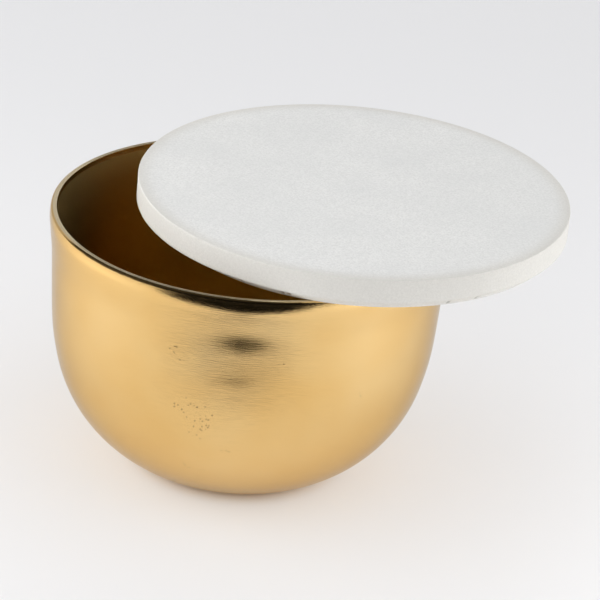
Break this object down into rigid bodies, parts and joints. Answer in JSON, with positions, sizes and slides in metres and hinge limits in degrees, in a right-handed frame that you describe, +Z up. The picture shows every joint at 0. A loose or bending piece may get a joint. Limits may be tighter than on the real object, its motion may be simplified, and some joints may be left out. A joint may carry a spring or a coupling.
{
  "type": "lidded storage bowl",
  "caption": "Round satin gold metal storage bowl with a flared wall and rolled lip, and a loose flat white marble lid that lies on the rim, slid aside, and lifts off.",
  "frame": {"origin": "centre of the bowl's flat base, on the surface that it stands on", "axes": "+Z up along the bowl's axis, +X from the bowl's axis towards the centre of the lid where it lies slid aside, +Y completes a right-handed frame"},
  "size_m": [0.154, 0.128, 0.0884],
  "materials": {
    "satin_brass": "satin",
    "white_marble": "satin"
  },
  "bodies": {
    "bowl": {"bowl": "satin_brass"},
    "lid": {"lid": "white_marble"}
  },
  "joints": [
    {"name": "lid_lift", "type": "slide", "parent": "bowl", "child": "lid", "axis": [0, 0, 1], "range_m": [0, 0.1]}
  ]
}
